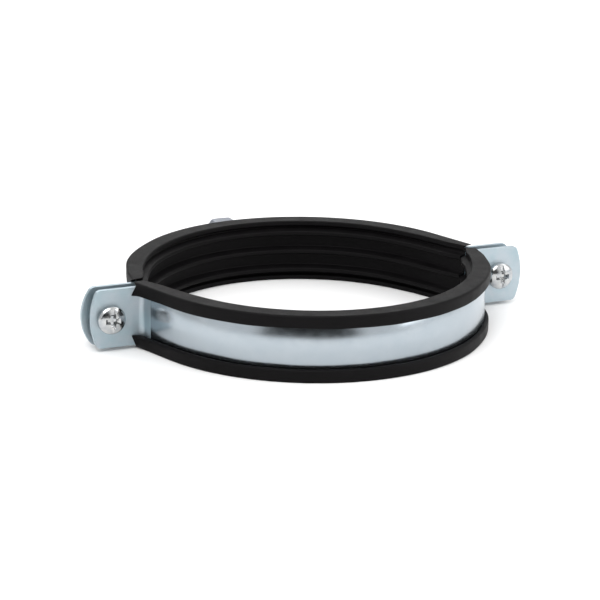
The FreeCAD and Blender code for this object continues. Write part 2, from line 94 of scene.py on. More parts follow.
SPRUNG_FOOT, SPRUNG_FOOT_FADE = 3, 10              # and where it starts


def strip_point(s, n):
    """Plan position at distance s along the strip's middle from the Y axis, n outwards from it."""
    if s <= ROUND_LENGTH:
        angle = math.pi / 2 - s / MIDDLE
        return Vector((math.cos(angle), math.sin(angle))) * (MIDDLE + n)
    s -= ROUND_LENGTH
    if s <= STRAIGHT_LENGTH:
        return TANGENT + DOWN * s + OUT * n
    s -= STRAIGHT_LENGTH
    centre = Vector((BEND_X, BEND_Y))
    if s <= BEND_LENGTH:
        angle = math.pi + START + s / BEND
        return centre + Vector((math.cos(angle), math.sin(angle))) * (BEND - n)
    return Vector((BEND_X + s - BEND_LENGTH, EAR_MIDDLE + n))


def smooth(t):
    """Smooth step from 0 to 1."""
    t = min(max(t, 0.0), 1.0)
    return t * t * (3 - 2 * t)


def sprung(place, half, side):
    """The halves are pressed a little out of round on one diagonal, above their straight stretches."""
    swell = (SPRUNG.get((half, side), 0.0) * smooth((SPRUNG_TOP - place.y) / SPRUNG_TOP_FADE)
             * smooth((place.y - SPRUNG_FOOT) / SPRUNG_FOOT_FADE))
    return place * (1 + swell / place.length)


# ------------------------------------------------------------------ meshes
def new_object(name, mesh_data):
    """Object of a finished bmesh, in metres, with smooth faces."""
    bmesh.ops.recalc_face_normals(mesh_data, faces=mesh_data.faces)
    mesh = bpy.data.meshes.new(name)
    mesh_data.to_mesh(mesh)
    mesh_data.free()
    mesh.polygons.foreach_set("use_smooth", [True] * len(mesh.polygons))
    piece = bpy.data.objects.new(name, mesh)
    bpy.context.scene.collection.objects.link(piece)
    return piece


def grid_mesh(rows, outline=None):
    """Closed bmesh of equally long loops of points in millimetres; an outline fills hollow end faces."""
    bm = bmesh.new()
    rings = [[bm.verts.new(Vector(p) * MM) for p in row] for row in rows]
    join_rings(bm, rings)
    for ring in (rings[0], rings[-1]):
        if outline:
            for triangle in tessellate_polygon([[Vector((*p, 0)) for p in outline]]):
                bm.faces.new([ring[i] for i in triangle])
        else:
            bm.faces.new(ring)
    return bm


def ring_mesh(rows):
    """Closed bmesh of loops that go all the way round and meet."""
    bm = bmesh.new()
    rings = [[bm.verts.new(Vector(p) * MM) for p in row] for row in rows]
    join_rings(bm, rings + rings[:1])
    return bm


def join_rings(bm, rings):
    """Quads between each ring of vertices and the next."""
    count = len(rings[0])
    for ring, following in zip(rings, rings[1:]):
        for i in range(count):
            j = (i + 1) % count
            bm.faces.new((ring[i], ring[j], following[j], following[i]))


def add_modifier(piece, kind, name, **settings):
    """Modifier with its settings."""
    modifier = piece.modifiers.new(name, kind)
    for key, value in settings.items():
        setattr(modifier, key, value)
    return modifier


def apply_modifiers(piece):
    """Bake a piece's modifiers into its mesh."""
    bpy.context.view_layer.update()
    evaluated = piece.evaluated_get(bpy.context.evaluated_depsgraph_get())
    mesh = bpy.data.meshes.new_from_object(evaluated)
    piece.modifiers.clear()
    piece.data = mesh


def combine(piece, tool, operation):
    """Boolean of a closed piece with a tool, which is used up."""
    add_modifier(piece, "BOOLEAN", operation, operation=operation, object=tool, solver="EXACT")
    apply_modifiers(piece)
    bpy.data.objects.remove(tool)


def cut(piece, tool):
    """Take one closed piece out of another."""
    combine(piece, tool, "DIFFERENCE")


def join(name, parts):
    """One object of several, which are used up."""
    bm = bmesh.new()
    for part in parts:
        bm.from_mesh(part.data)
        bpy.data.objects.remove(part)
    mesh = bpy.data.meshes.new(name)
    bm.to_mesh(mesh)
    bm.free()
    piece = bpy.data.objects.new(name, mesh)
    bpy.context.scene.collection.objects.link(piece)
    return piece


def soften(piece, width, angle=35, segments=2):
    """Small rounding along the sharp edges, then shading by angle."""
    add_modifier(piece, "BEVEL", "edges", width=width * MM, segments=segments, limit_method="ANGLE",
                 angle_limit=math.radians(angle), harden_normals=False)
    apply_modifiers(piece)
    shade_by_angle(piece, 40)


def shade_by_angle(piece, degrees):
    """Sharp edges where faces meet at more than an angle, smooth elsewhere."""
    mesh = piece.data
    mesh.polygons.foreach_set("use_smooth", [True] * len(mesh.polygons))
    mesh.set_sharp_from_angle(angle=math.radians(degrees))


def revolve(profile, steps=64):
    """Closed bmesh of a profile of (radius, height) points turned about Y; ends lie on the axis."""
    bm = bmesh.new()
    rings = []
    for radius, height in profile:
        if radius < 1e-6:
            rings.append([bm.verts.new(Vector((0, height, 0)) * MM)])
            continue
        ring = []
        for k in range(steps):
            angle = 2 * math.pi * k / steps
            ring.append(bm.verts.new(Vector((radius * math.cos(angle), height,
                                             radius * math.sin(angle))) * MM))
        rings.append(ring)
    for lower, upper in zip(rings, rings[1:]):
        for k in range(steps):
            j = (k + 1) % steps
            corners = [lower[k % len(lower)], lower[j % len(lower)],
                       upper[j % len(upper)], upper[k % len(upper)]]
            unique = list(dict.fromkeys(corners))
            if len(unique) > 2:
                bm.faces.new(unique)
    return bm


def rounded(corners, steps=4):
    """Closed outline with each (x, y, radius) corner rounded by a short arc."""
    points = []
    count = len(corners)
    for i, (x, y, radius) in enumerate(corners):
        here = Vector((x, y))
        if radius <= 0:
            points.append(here)
            continue
        before = (Vector(corners[i - 1][:2]) - here).normalized()
        after = (Vector(corners[(i + 1) % count][:2]) - here).normalized()
        half = before.angle(after) / 2
        reach = radius / math.tan(half)
        centre = here + (before + after).normalized() * (radius / math.sin(half))
        start, end = here + before * reach - centre, here + after * reach - centre
        turn = start.angle_signed(end)
        for k in range(steps + 1):
            spin = Matrix.Rotation(-turn * k / steps, 2)
            points.append(centre + spin @ start)
    return points


# ------------------------------------------------------------------ materials
class Shader:
    """A node material with a Principled shader, built in a few lines."""

    def __init__(self, name, colour, metallic=0.0, roughness=0.5, **sockets):
        self.material = bpy.data.materials.new(name)
        self.material.use_nodes = True
        self.tree = self.material.node_tree
        self.shader = self.tree.nodes["Principled BSDF"]
        self.set(self.shader, "Base Color", (*colour, 1))
        self.set(self.shader, "Metallic", metallic)
        self.set(self.shader, "Roughness", roughness)
        for socket, value in sockets.items():
            self.set(self.shader, socket.replace("_", " "), value)
        self.place = self.node("ShaderNodeTexCoord").outputs["Object"]

    def set(self, node, socket, value):
        node.inputs[socket].default_value = value

    def node(self, kind, **settings):
        made = self.tree.nodes.new(kind)
        for key, value in settings.items():
            setattr(made, key, value)
        return made

    def link(self, output, node, socket):
        self.tree.links.new(output, node.inputs[socket])

    def noise(self, scale, detail=4.0, rough=0.55, stretch=None):
        """Noise in object space; scale is in features per metre."""
        texture = self.node("ShaderNodeTexNoise")
        for socket, value in (("Scale", scale), ("Detail", detail), ("Roughness", rough)):
            self.set(texture, socket, value)
        where = self.place
        if stretch:
            mapping = self.node("ShaderNodeMapping")
            self.set(mapping, "Scale", stretch)
            self.link(where, mapping, "Vector")
            where = mapping.outputs["Vector"]
        self.link(where, texture, "Vector")
        return texture.outputs["Fac"]

    def ramp(self, value, stops):
        """Colour ramp over (position, colour) stops; a plain number is a grey."""
        ramp = self.node("ShaderNodeValToRGB")
        elements = ramp.color_ramp.elements
        while len(elements) < len(stops):
            elements.new(0.5)
        for element, (position, colour) in zip(elements, stops):
            element.position = position
            element.color = (*colour, 1) if isinstance(colour, tuple) else (colour,) * 3 + (1,)
        self.link(value, ramp, "Fac")
        return ramp.outputs["Color"]

    def edge_roll(self, half):
        """1 along the middle of a strip, falling to 0 at its edges half a width (mm) away."""
        height = self.node("ShaderNodeSeparateXYZ")
        self.link(self.place, height, "Vector")
        share = self.node("ShaderNodeMath", operation="DIVIDE")
        self.link(height.outputs["Z"], share, 0)
        self.set(share, 1, half * MM)
        away = self.node("ShaderNodeMath", operation="ABSOLUTE")
        self.link(share.outputs[0], away, 0)
        curve = self.node("ShaderNodeMath", operation="POWER")
        self.link(away.outputs[0], curve, 0)
        self.set(curve, 1, 1.9)
        fall = self.node("ShaderNodeMath", operation="SUBTRACT")
        self.set(fall, 0, 1.0)
        self.link(curve.outputs[0], fall, 1)
        return fall.outputs[0]

    def mix(self, a, b, factor, blend="MIX"):
        """Two colours mixed by a plain factor or by a value."""
        mixed = self.node("ShaderNodeMix", data_type="RGBA", blend_type=blend)
        self.tree.links.new(a, mixed.inputs[6])
        self.tree.links.new(b, mixed.inputs[7])
        if isinstance(factor, float):
            mixed.inputs[0].default_value = factor
        else:
            self.tree.links.new(factor, mixed.inputs[0])
        return mixed.outputs[2]

    def bump(self, heights):
        """Chain of bumps from (value, strength, distance in millimetres)."""
        normal = None
        for value, strength, distance in heights:
            bump = self.node("ShaderNodeBump")
            self.set(bump, "Strength", strength)
            self.set(bump, "Distance", distance * MM)
            self.link(value, bump, "Height")
            if normal:
                self.link(normal, bump, "Normal")
            normal = bump.outputs["Normal"]
        self.link(normal, self.shader, "Normal")

    def colour(self, value):
        self.link(value, self.shader, "Base Color")

    def roughness(self, value):
        self.link(value, self.shader, "Roughness")


EAR_PAINTED_LIFT, EAR_MATT = 1.12, 0.27                    # ears: colour painted lighter and bluer as painted light, and rougher


def zinc_strip(name="zinc_strip", rolled=True):
    """Bright zinc on cold-rolled strip, bluish; rolled puts a slight crown across its width,
    and without it the finish is the matter one of the bent and punched ears, with painted light: a
    lighter, bluer colour."""
    m = Shader(name, (0.38, 0.43, 0.47), metallic=1.0, roughness=0.25)
    fine = m.noise(2600, detail=2)
    lines = m.noise(900, detail=2, stretch=(0.04, 0.04, 1.0))
    waves = m.noise(34, detail=1, stretch=(1.0, 1.0, 1.6))
    # painted light on the ears: the same strip's random tone, lifted lighter and bluer to stand in for
    # how they are lit
    lift = 1.0 if rolled else EAR_PAINTED_LIFT
    tone_and_painted_lift = m.ramp(m.noise(160, detail=3), [(0.3, (0.38, 0.43 * lift, 0.47 * lift)),
                                           (0.7, (0.42 * lift, 0.465 * lift, 0.50 * lift))])
    grain = m.ramp(fine, [(0.3, 0.95), (0.7, 1.0)])
    m.colour(m.mix(tone_and_painted_lift, grain, 1.0, "MULTIPLY"))
    matt = 0.0 if rolled else EAR_MATT
    m.roughness(m.ramp(m.noise(420, detail=5), [(0.3, 0.17 + matt), (0.7, 0.23 + matt)]))
    crown = [(m.edge_roll(BAND_HALF), 1.0, 2.2)] if rolled else []
    m.bump(crown + [(waves, 0.5, 0.9), (lines, 0.05, 0.02), (fine, 0.08, 0.01)])
    return m.material


def zinc_nut():
    """Turned and zinc-plated nut, duller than the strip."""
    m = Shader("zinc_nut", (0.36, 0.38, 0.42), metallic=1.0, roughness=0.35)
    mottle = m.noise(260, detail=4)
    drawn = m.noise(1500, detail=2, stretch=(1.0, 0.05, 1.0))
    m.colour(m.ramp(mottle, [(0.3, (0.20, 0.22, 0.26)), (0.7, (0.28, 0.30, 0.34))]))
    m.roughness(m.ramp(drawn, [(0.3, 0.28), (0.7, 0.44)]))
    m.bump([(drawn, 0.2, 0.02), (mottle, 0.1, 0.04)])
    return m.material


def weld_metal():
    """Weld under zinc: rough, greyer and blotched."""
    m = Shader("weld_metal", (0.28, 0.29, 0.31), metallic=1.0, roughness=0.5)
    blotch = m.noise(500, detail=5)
    m.colour(m.ramp(blotch, [(0.3, (0.15, 0.15, 0.17)), (0.6, (0.30, 0.31, 0.33)),
                            (0.8, (0.38, 0.36, 0.32))]))
    m.roughness(m.ramp(blotch, [(0.3, 0.6), (0.7, 0.38)]))
    m.bump([(m.noise(1400, detail=3), 0.4, 0.06)])
    return m.material


def zinc_screw():
    """Glossier zinc of the screws, slightly warmer than the strip."""
    m = Shader("zinc_screw", (0.50, 0.51, 0.52), metallic=1.0, roughness=0.18)
    stain = m.noise(600, detail=3)
    m.colour(m.ramp(stain, [(0.3, (0.40, 0.42, 0.44)), (0.7, (0.56, 0.56, 0.55))]))
    m.roughness(m.ramp(m.noise(1300, detail=4), [(0.3, 0.12), (0.7, 0.24)]))
    m.bump([(stain, 0.12, 0.02)])
    return m.material


def epdm_rubber():
    """Matt black moulded rubber with a dusty bloom and fine texture."""
    m = Shader("epdm_rubber", (0.0032, 0.0029, 0.0032), roughness=0.5)
    m.set(m.shader, "Specular IOR Level", 0.09)
    bloom = m.noise(130, detail=5)
    grain = m.noise(5200, detail=3)
    streak = m.noise(700, detail=2, stretch=(0.12, 0.12, 1.0))
    m.colour(m.ramp(bloom, [(0.3, (0.0024, 0.0021, 0.0024)), (0.7, (0.0044, 0.004, 0.0044))]))
    m.roughness(m.ramp(m.mix(grain, bloom, 0.5), [(0.35, 0.44), (0.65, 0.64)]))
    m.bump([(grain, 0.18, 0.03), (streak, 0.08, 0.04)])
    return m.material


def nylon():
    """Natural nylon, slightly translucent white."""
    m = Shader("nylon", (0.85, 0.85, 0.80), roughness=0.42)
    m.set(m.shader, "Subsurface Weight", 0.15)
    m.set(m.shader, "Subsurface Radius", (1.2 * MM, 1.1 * MM, 1.0 * MM))
    m.colour(m.ramp(m.noise(300), [(0.3, (0.80, 0.80, 0.75)), (0.7, (0.88, 0.88, 0.84))]))
    m.bump([(m.noise(2500), 0.1, 0.02)])
    return m.material


MATERIALS = {make.__name__: make() for make in
             (zinc_strip, zinc_nut, weld_metal, zinc_screw, epdm_rubber, nylon)}


def finish_with(piece, slot):
    """Give a piece one of the materials."""
    piece.data.materials.clear()
    piece.data.materials.append(MATERIALS[slot])


for subpart in frame["record"]["subparts"]:
    node = frame["nodes"][subpart["node"]]
    node.data.materials.clear()
    node.data.materials.append(MATERIALS[subpart["material_slot"]])


# ------------------------------------------------------------------ rubber linings
LIP_INSIDE = THICK / 2 + GAP                       # offsets from the middle of the strip
LIP_OUTSIDE = LINING_OUTER - MIDDLE
CREST = SEAT - MIDDLE
BASE_INSIDE = CREST + 2.9
BEAD = BASE_INSIDE - 1.3
SLOT_EDGE = BAND_HALF + GAP                        # heights from the middle of the clamp
LIP_EDGE = LINING_HALF - 4.4
BEAD_EDGE = LINING_HALF - 1.6
BEAD_FOOT = BEAD_EDGE - 0.6
OUTER_RIB = LINING_HALF - 4.25
RIB_CREST, RIB_ROOT = 0.6, 1.5                     # half widths of a rib
ARC_SHARE = 0.75                                   # share of the stations on the round stretch
LIP_LENGTH = {"rear": STRAIGHT_LENGTH - 0.4,       # how far a lip runs past the round stretch:
              "front": EAR_START - ROUND_LENGTH + 2.5}       # the front lips reach onto the ears
LIP_SLANT = 2.0                                    # slant of a front lip's cut end
LIP_FLARE = 2.2                                    # how far that end swings outwards
SQUEEZE = ((1.6, 30, 25), (1.3, 8, 8))             # thinning near the ends: depth, start, fade
NOTCH_SIDE = 5.6                                   # half width of the notch for the welded nut
NOTCH_DEPTH = 1.25                                 # how far the notch takes the lips back
RUBBER_ENDS = {                                    # inner and outer corner from the parting plane
    ("rear", 1): (-0.1, 0.8), ("rear", -1): (3.6, 1.6),
    ("front", 1): (2.1, 4.0), ("front", -1): (0.3, 1.0)}


def densify(points, step):
    """Closed outline with extra points on its long sides."""
    dense = []
    for here, after in zip(points, points[1:] + points[:1]):
        parts = max(1, math.ceil((after - here).length / step))
        dense += [here.lerp(after, k / parts) for k in range(parts)]
    return dense


def lining_outline():
    """Section of the rubber as (offset from the strip's middle, height), corners rounded."""
    lip = [(BEAD, LINING_HALF, 0.5), (LIP_OUTSIDE, LINING_HALF, 0.7), (LIP_OUTSIDE, LIP_EDGE, 0.65),
           (LIP_INSIDE, LIP_EDGE, 0.2), (LIP_INSIDE, SLOT_EDGE, 0), (-LIP_INSIDE, SLOT_EDGE, 0)]
    corners = lip + [(n, -z, radius) for n, z, radius in reversed(lip)]
    corners += [(BEAD, -BEAD_EDGE, 0.35), (BASE_INSIDE, -BEAD_FOOT, 0.4)]
    for middle in (-OUTER_RIB, 0, OUTER_RIB):
        corners += [(BASE_INSIDE, middle - RIB_ROOT, 0.5), (CREST, middle - RIB_CREST, 0.4),
                    (CREST, middle + RIB_CREST, 0.4), (BASE_INSIDE, middle + RIB_ROOT, 0.5)]
    corners += [(BASE_INSIDE, BEAD_FOOT, 0.4), (BEAD, BEAD_EDGE, 0.35)]
    return densify(rounded(corners), 0.8)


def rubber_point(n, z, v, half, side):
    """Plan position of a section point at station v, 0 at the Y axis and 1 at the lining's end."""
    u = max(0.0, (v - ARC_SHARE) / (1 - ARC_SHARE))
    s = ROUND_LENGTH * min(v / ARC_SHARE, 1.0)
    rise = strip_point(s, 0).y * (1 - u)
    squeeze = sum(depth * smooth((start - rise) / fade) for depth, start, fade in SQUEEZE)
    inward = min(max((-LIP_INSIDE - n) / (-LIP_INSIDE - BEAD), 0.0), 1.0)
    depth = n + squeeze * inward
    if u == 0:
        return strip_point(s, depth)
    across = min(max((n - BEAD) / (LIP_OUTSIDE - BEAD), 0.0), 1.0)
    inner_end, outer_end = RUBBER_ENDS[half, side]
    end = inner_end + (outer_end - inner_end) * across
    base = straight_run(depth, end, u)
    beside_strip = 1 - smooth((abs(z) - SLOT_EDGE) / (LINING_HALF - SLOT_EDGE))
    over = smooth((n + LIP_INSIDE) / (2 * LIP_INSIDE)) * beside_strip
    return base.lerp(lip_point(n, z, u, half), over)


def straight_run(n, end, u):
    """Point at share u of the run that goes straight on from the round stretch to Y = end."""
    length = (TANGENT.y + n * math.sin(START) - end) / math.cos(START)
    return TANGENT + DOWN * length * u + OUT * n


def lip_point(n, z, u, half):
    """Lip outside the strip: its inner face hugs the bend, its outer face bridges to the ear."""
    if half == "rear":
        return strip_point(ROUND_LENGTH + u * LIP_LENGTH[half], n)
    slant = LIP_SLANT * min(max((abs(z) - LIP_EDGE) / (LINING_HALF - LIP_EDGE), 0.0), 1.0)
    hugging = strip_point(ROUND_LENGTH + u * (LIP_LENGTH[half] - slant), n)
    foot = EAR_MIDDLE + THICK / 2 + 0.5
    bridging = straight_run(n, foot, u) + Vector(((LIP_FLARE - slant) * u ** 3, 0))
    outer_share = min(max((n - LIP_INSIDE) / (LIP_OUTSIDE - LIP_INSIDE), 0.0), 1.0)
    return hugging.lerp(bridging, outer_share)


def lip_shift(n, z, x, v, half):
    """Change of height of a lip's free edge: waviness, lift at the ends, notch for the nut."""
    if n < LIP_INSIDE - 0.01 or abs(z) > SLOT_EDGE:
        return 0.0
    free = (SLOT_EDGE - abs(z)) / (SLOT_EDGE - LIP_EDGE)
    shift = 0.15 * noise.noise(Vector((x * 0.12, z, 3.7 * SIDES[half])))
    shift += 0.4 * smooth((v - 0.9) / 0.1)
    if half == "rear":
        shift += math.copysign(NOTCH_DEPTH * smooth((NOTCH_SIDE - abs(x)) / 0.9), z)
    return free * shift


def make_lining(half):
    """One rubber lining, from its left end round to its right end."""
    outline = lining_outline()
    stations = 96
    rows = []
    for k in range(-stations, stations + 1):
        side = 1 if k >= 0 else -1
        v = abs(k) / stations
        row = []
        for n, z in outline:
            place = sprung(rubber_point(n, z, v, half, side), half, side)
            x = side * place.x
            row.append((x, SIDES[half] * place.y, z + lip_shift(n, z, x, v, half)))
        rows.append(row)
    piece = new_object(half + "_rubber", grid_mesh(rows, outline))
    shade_by_angle(piece, 50)
    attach(piece, half + "_half")
    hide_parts(half + "_lining")
    finish_with(piece, "epdm_rubber")


# ------------------------------------------------------------------ half bands
EAR_RADIUS = {"rear": 15.5, "front": 23.0}
EAR_CORNER = 2.0
SHORT_EAR = {("front", -1): 2.3}  # cut shorter than its twin, by half and side
EAR_ZINC = zinc_strip("zinc_strip_ears", rolled=False)
EAR_HOLE = {"rear": 2.5, "front": 2.75}
COLLAR_RADIUS, COLLAR_HEIGHT, COLLAR_ROOT = 3.45, 2.0, 0.7


def ear_end(half, z, side):
    """X of an ear's rounded end at a height."""
    radius = EAR_RADIUS[half]
    centre = EAR_TIP[half] - SHORT_EAR.get((half, side), 0.0) - radius
    corner_z = BAND_HALF - EAR_CORNER
    corner_x = centre + math.sqrt((radius - EAR_CORNER) ** 2 - corner_z ** 2)
    if abs(z) > corner_z * radius / (radius - EAR_CORNER):
        return corner_x + math.sqrt(max(EAR_CORNER ** 2 - (abs(z) - corner_z) ** 2, 0.0))
    return centre + math.sqrt(radius ** 2 - z ** 2)


def strip_outline():
    """Section of the strip, with more points near its edges for the rounded ear end."""
    half_count = 16
    heights = [BAND_HALF * math.sin(math.pi / 2 * k / half_count)
               for k in range(-half_count, half_count + 1)]
    return ([Vector((THICK / 2, z)) for z in heights]
            + [Vector((-THICK / 2, z)) for z in reversed(heights)])


def cylinder(name, radius, low, high, x, steps=48):
    """Closed cylinder along Y at one X."""
    piece = new_object(name, revolve([(0, low), (radius, low), (radius, high), (0, high)], steps))
    piece.location.x = x * MM
    return piece


def collar(x, name):
    """Drawn collar round the tapped hole, with the radius the punch leaves at its root."""
    back = EAR_MIDDLE + THICK / 2
    profile = [(0, EAR_MIDDLE), (COLLAR_RADIUS + COLLAR_ROOT, EAR_MIDDLE)]
    for k in range(7):
        angle = math.pi / 2 * k / 6
        profile.append((COLLAR_RADIUS + COLLAR_ROOT * (1 - math.sin(angle)),
                        back + COLLAR_ROOT * (1 - math.cos(angle))))
    top = back + COLLAR_HEIGHT
    profile += [(COLLAR_RADIUS, top - 0.3), (COLLAR_RADIUS - 0.1, top - 0.1),
                (COLLAR_RADIUS - 0.3, top), (0, top)]
    piece = new_object(name, revolve(profile, 48))
    piece.location.x = x * MM
    return piece


def make_band(half):
    """One half band: round stretch, straight stretches, bends and ears, with its two holes."""
    outline = strip_outline()
    parts = [(ROUND_LENGTH, 60), (STRAIGHT_LENGTH, 10), (BEND_LENGTH, 14)]
    along = [0.0]
    for length, count in parts:
        start = along[-1]
        along += [start + length * k / count for k in range(1, count + 1)]
    ear_steps = 16
    rows = []
    for k in range(-(len(along) - 1 + ear_steps), len(along) + ear_steps):
        side, index = (1 if k >= 0 else -1), abs(k)
        row = []
        for n, z in outline:
            if index < len(along):
                place = strip_point(along[index], n)
            else:
                share = (index - len(along) + 1) / ear_steps
                place = strip_point(EAR_START + share * (ear_end(half, z, side) - BEND_X), n)
            place = sprung(place, half, side)
            row.append((side * place.x, SIDES[half] * place.y, z))
        rows.append(row)
    piece = new_object(half + "_strip", grid_mesh(rows, outline))
    for side in (-1, 1):
        if half == "rear":
            combine(piece, collar(side * SCREW_X, "collar"), "UNION")
        reach = sorted(SIDES[half] * y for y in (EAR_INNER - 1, EAR_MIDDLE + THICK + COLLAR_HEIGHT))
        cut(piece, cylinder("hole", EAR_HOLE[half], *reach, side * SCREW_X))
    soften(piece, 0.22)
    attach(piece, half + "_half")
    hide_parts(half + "_band")
    finish_with(piece, "zinc_strip")
    piece.data.materials.append(EAR_ZINC)
    for face in piece.data.polygons:
        face.material_index = int(abs(face.center.x) > (BEND_X - BEND) * MM)


# ------------------------------------------------------------------ screws and their retainers
PITCH = 0.8
SEAT_Y = HEAD_TOP + 3.6                            # under side of the head
RIM_Y = SEAT_Y - 2.3                               # where the head's side wall meets its crown
SHANK_RADIUS, THREAD_DEPTH = 2.45, 0.42


def thread_radius(turn, height, radius, depth, pitch):
    """Radius of a rounded thread; turn is a share of a full turn the way the thread winds."""
    phase = (height / pitch - turn) % 1.0
    return radius - depth * (1 - smooth((abs(2 * phase - 1) - 0.12) / 0.76))


def wedge(name, top, bottom, high, low):
    """Tapered block between two centred rectangles (x, z) at two heights."""
    bm = bmesh.new()
    rings = []
    for (x, z), y in ((top, high), (bottom, low)):
        rings.append([bm.verts.new(Vector((sx * x / 2, y, sz * z / 2)) * MM)
                      for sx, sz in ((-1, -1), (1, -1), (1, 1), (-1, 1))])
    for k in range(4):
        j = (k + 1) % 4
        bm.faces.new((rings[0][k], rings[0][j], rings[1][j], rings[1][k]))
    bm.faces.new(rings[0])
    bm.faces.new(list(reversed(rings[1])))
    return new_object(name, bm)


def screw_head():
    """Domed pan head with a tapered cross recess and a slot across it."""
    crown = RIM_Y - HEAD_TOP
    dome = (HEAD_RADIUS ** 2 + crown ** 2) / (2 * crown)
    edge = 0.45
    profile = [(0, SEAT_Y), (HEAD_RADIUS - 0.2, SEAT_Y), (HEAD_RADIUS, SEAT_Y - 0.2),
               (HEAD_RADIUS, RIM_Y + edge)]
    for k in range(1, 5):
        angle = math.pi / 2 * k / 5
        profile.append((HEAD_RADIUS - edge * (1 - math.cos(angle)),
                        RIM_Y + edge * (1 - math.sin(angle))))
    for k in range(12, -1, -1):
        radius = (HEAD_RADIUS - edge) * k / 12
        profile.append((radius, HEAD_TOP + dome - math.sqrt(dome ** 2 - radius ** 2)))
    head = new_object("head", revolve(profile, 72))
    above = HEAD_TOP - 0.4
    floor = HEAD_TOP + 2.1
    cut(head, wedge("arm", (2.0, 6.2), (1.1, 2.8), above, floor))
    cut(head, wedge("arm", (6.2, 2.0), (2.8, 1.1), above, floor))
    cut(head, wedge("slot", (1.25, 3 * HEAD_RADIUS), (1.1, 3 * HEAD_RADIUS), above, HEAD_TOP + 1.0))
    soften(head, 0.07, angle=40)
    return head


def screw_shank():
    """Threaded shank with a run-out under the head and a chamfered tip."""
    steps, chamfer, run_out = 48, 0.7, 0.8
    count = round((SCREW_TIP - SEAT_Y) / PITCH * 10)
    rows = []
    for i in range(-1, count + 1):
        y = SEAT_Y + (SCREW_TIP - SEAT_Y) * i / count
        row = []
        for k in range(steps):
            angle = 2 * math.pi * k / steps
            depth = THREAD_DEPTH * smooth((y - SEAT_Y) / run_out)
            radius = thread_radius(k / steps, y, SHANK_RADIUS, depth, PITCH)
            radius = min(radius, SHANK_RADIUS - chamfer + (SCREW_TIP - y))
            row.append((radius * math.sin(angle), y, radius * math.cos(angle)))
        rows.append(row)
    shank = new_object("shank", grid_mesh(rows))
    shade_by_angle(shank, 60)
    return shank


def make_screw(name, x):
    """Whole screw: head and shank in one piece."""
    piece = join(name + "_body", [screw_head(), screw_shank()])
    piece.data.transform(Matrix.Translation((x * MM, 0, 0)))
    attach(piece, name + "_set")
    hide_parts(name)
    finish_with(piece, "zinc_screw")


def make_retainer(name, x):
    """Flat nylon ring with eased edges, tight on the thread behind the front ear."""
    low, high = size_of(name + "_retainer", 0, "y"), size_of(name + "_retainer", 1, "y")
    outer = (size_of(name + "_retainer", 1, "x") - size_of(name + "_retainer", 0, "x")) / 2
    loop = rounded([(SHANK_RADIUS, low, 0.12), (outer, low, 0.25), (outer, high, 0.25),
                    (SHANK_RADIUS, high, 0.12)])
    rows = []
    steps = 64
    for k in range(steps):
        angle = 2 * math.pi * k / steps
        rows.append([(x + r * math.cos(angle), y, r * math.sin(angle)) for r, y in loop])
    piece = new_object(name + "_ring", ring_mesh(rows))
    shade_by_angle(piece, 40)
    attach(piece, name + "_set")
    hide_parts(name + "_retainer")
    finish_with(piece, "nylon")


# ------------------------------------------------------------------ connecting nut and its weld
NUT_ACROSS = 2 * size_of("connecting_nut", 1, "z")
CHAMFER_RADIUS, CHAMFER_ANGLE = 6.2, math.radians(30)
THREADS = ((11.0, 5.0, 0.8, 1.5), (10.0, 4.0, 0.62, 1.25))   # length, radius, depth, pitch
WELD_RADIUS = 1.0


def hexagon_radius(angle, across, ease=0.15):
    """Radius of a hexagon with flats facing +Z and -Z, its corners eased."""
    sharp = across / 2 / math.cos(angle % (math.pi / 3) - math.pi / 6)
    return min(sharp, across / 2 / math.cos(math.pi / 6) - ease)


def make_nut():
    """Long hexagonal nut, chamfered at its mouth, with an M10 thread and an M8 thread behind it."""
    steps = 96
    turns = [2 * math.pi * k / steps for k in range(steps)]
    length = NUT_MOUTH - BAND_OUTER
    rows = []
    for height in [0, length * 0.4, length * 0.8] + [length - 1.4 + 0.1 * k for k in range(15)]:
        cone = CHAMFER_RADIUS + (length - height) / math.tan(CHAMFER_ANGLE)
        rows.append([(min(hexagon_radius(a, NUT_ACROSS), cone), BAND_OUTER + height, a) for a in turns])
    down = 0.0
    for reach, radius, depth, pitch in THREADS:
        count = round(reach / pitch * 10)
        for i in range(count + 1):
            y = NUT_MOUTH - down - reach * i / count
            entry = 5.3 - 1.7 * (NUT_MOUTH - y)
            rows.append([(max(thread_radius(-a / (2 * math.pi), y, radius, depth, pitch), entry), y, a)
                         for a in turns])
        down += reach
    mesh_rows = [[(r * math.cos(a), y, r * math.sin(a)) for r, y, a in row] for row in rows]
    piece = new_object("long_nut", grid_mesh(mesh_rows))
    shade_by_angle(piece, 35)
    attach(piece, "rear_half")
    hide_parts("connecting_nut")
    finish_with(piece, "zinc_nut")


def make_weld():
    """Rippled weld bead that follows the nut's foot over the curved band."""
    steps, around = 180, 20
    rows = []
    for k in range(steps):
        angle = 2 * math.pi * k / steps
        path = hexagon_radius(angle, NUT_ACROSS, ease=0.6)
        out = Vector((math.cos(angle), 0, math.sin(angle)))
        foot = out * path
        foot.y = math.sqrt(BAND_OUTER ** 2 - foot.x ** 2)
        lump = noise.noise(out * 2.3)
        bead = WELD_RADIUS * (0.82 + 0.10 * lump + 0.06 * math.sin(26 * angle))
        row = []
        for i in range(around):
            turn = 2 * math.pi * i / around
            row.append(foot + out * bead * math.cos(turn) + Vector((0, bead * 1.25 * math.sin(turn), 0)))
        rows.append(row)
    piece = new_object("weld_bead", ring_mesh(rows))
    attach(piece, "rear_half")
    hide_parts("nut_weld")
    finish_with(piece, "weld_metal")


for half in SIDES:
    make_lining(half)
    make_band(half)
for name, x in (("left_screw", -SCREW_X), ("right_screw", SCREW_X)):
    make_screw(name, x)
    make_retainer(name, x)
make_nut()
make_weld()

